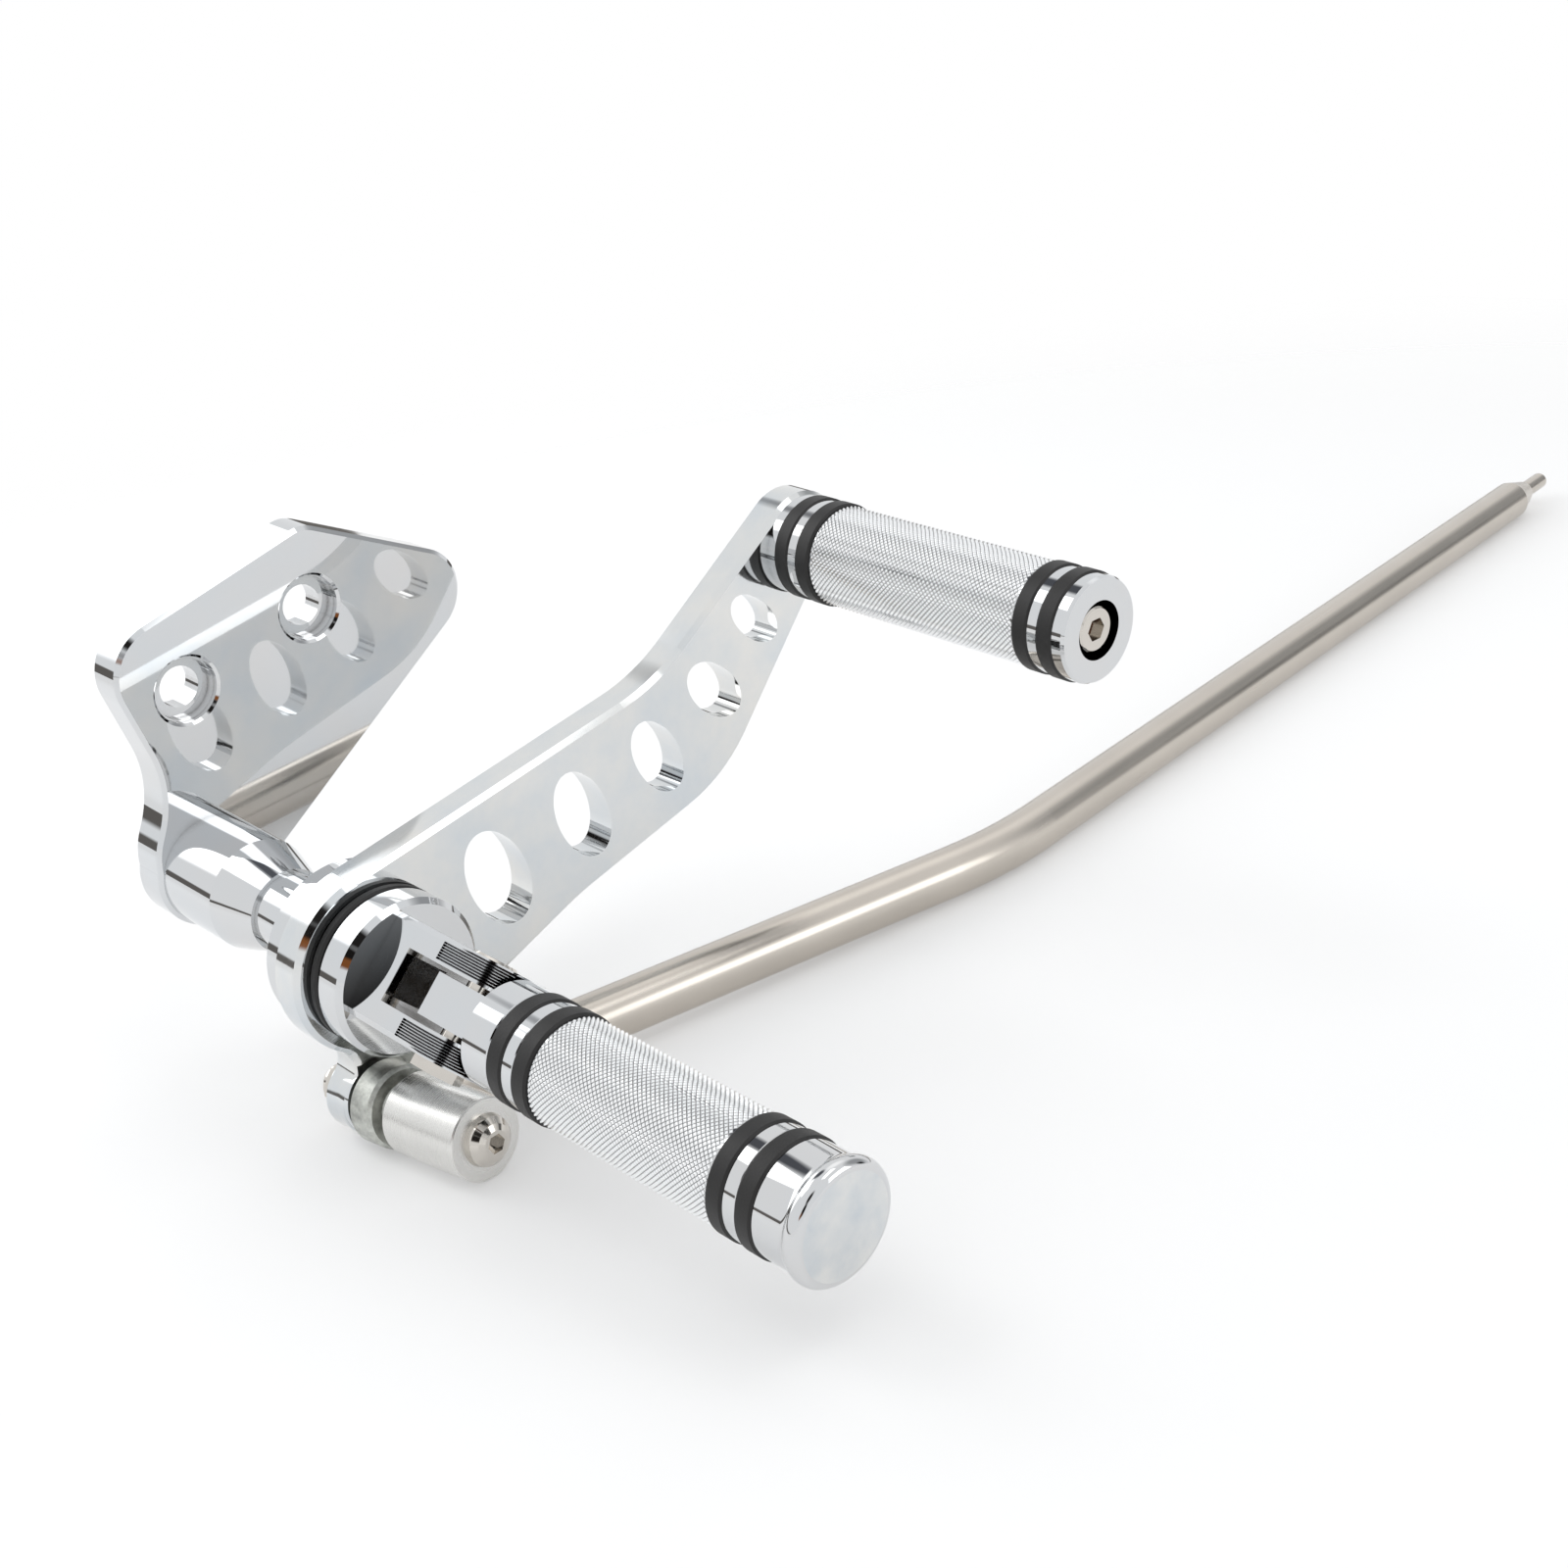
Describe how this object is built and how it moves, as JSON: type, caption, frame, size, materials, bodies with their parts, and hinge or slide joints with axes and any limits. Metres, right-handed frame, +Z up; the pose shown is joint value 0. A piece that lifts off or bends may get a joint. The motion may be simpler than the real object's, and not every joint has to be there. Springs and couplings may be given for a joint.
{
  "type": "motorcycle forward controls",
  "caption": "Forward control set for one side: bracket plate with pivot barrel, folding knurled foot peg, pierced toe lever with knurled toe peg, and a bent linkage rod.",
  "frame": {"origin": "midway between the two frame bolt holes, on the bracket face that meets the frame", "axes": "+Y out of the mounting face towards the frame, parallel to the pivot, foot peg and toe peg axes; +X forward towards the toe peg; +Z up"},
  "size_m": [0.6803, 0.2795, 0.148],
  "materials": {
    "chrome_plate": "mirror bright chrome plating",
    "knurled_chrome": "chrome plated body with a diamond knurled grip",
    "black_rubber": "matte moulded rubber",
    "stainless_steel": "drawn and polished stainless bar",
    "stainless_screw": "bright stainless fasteners",
    "zinc_plate": "dull zinc plated casting skin",
    "turned_aluminium": "bare turned aluminium"
  },
  "bodies": {
    "mount": {"bracket_plate": "chrome_plate", "pivot_bolt": "stainless_screw", "pivot_barrel": "chrome_plate", "hub_rubber_ring": "black_rubber", "clevis_mount": "chrome_plate", "clevis_pin": "stainless_screw", "clevis_pin_nut": "stainless_screw"},
    "foot_peg": {"peg_tongue": "chrome_plate", "foot_peg_body": "knurled_chrome", "foot_rubber_ring_1": "black_rubber", "foot_rubber_ring_2": "black_rubber", "foot_rubber_ring_3": "black_rubber", "foot_rubber_ring_4": "black_rubber"},
    "lever": {"toe_lever": "chrome_plate", "toe_peg_body": "knurled_chrome", "toe_rubber_ring_1": "black_rubber", "toe_rubber_ring_2": "black_rubber", "toe_rubber_ring_3": "black_rubber", "toe_rubber_ring_4": "black_rubber", "toe_peg_screw": "stainless_screw", "tail_bolt": "stainless_screw", "tail_nut": "stainless_screw", "rod_end_ball": "zinc_plate", "link_spacer": "turned_aluminium"},
    "rod": {"rod_end": "zinc_plate", "linkage_rod": "stainless_steel"}
  },
  "joints": [
    {"name": "toe_lever_pivot", "type": "hinge", "parent": "mount", "child": "lever", "pos_m": [-0.0244, -0.0995, -0.0632], "axis": [0, -1, 0], "range_deg": [-12, 12]},
    {"name": "foot_peg_fold", "type": "hinge", "parent": "mount", "child": "foot_peg", "pos_m": [-0.0244, -0.139, -0.0632], "axis": [-0.7071, 0, -0.7071], "range_deg": [0, 85]},
    {"name": "linkage_rod_swing", "type": "hinge", "parent": "lever", "child": "rod", "pos_m": [-0.03136, -0.10534, -0.10301], "axis": [0.0641, -0.9913, 0.1147], "range_deg": [-30, 20]}
  ]
}
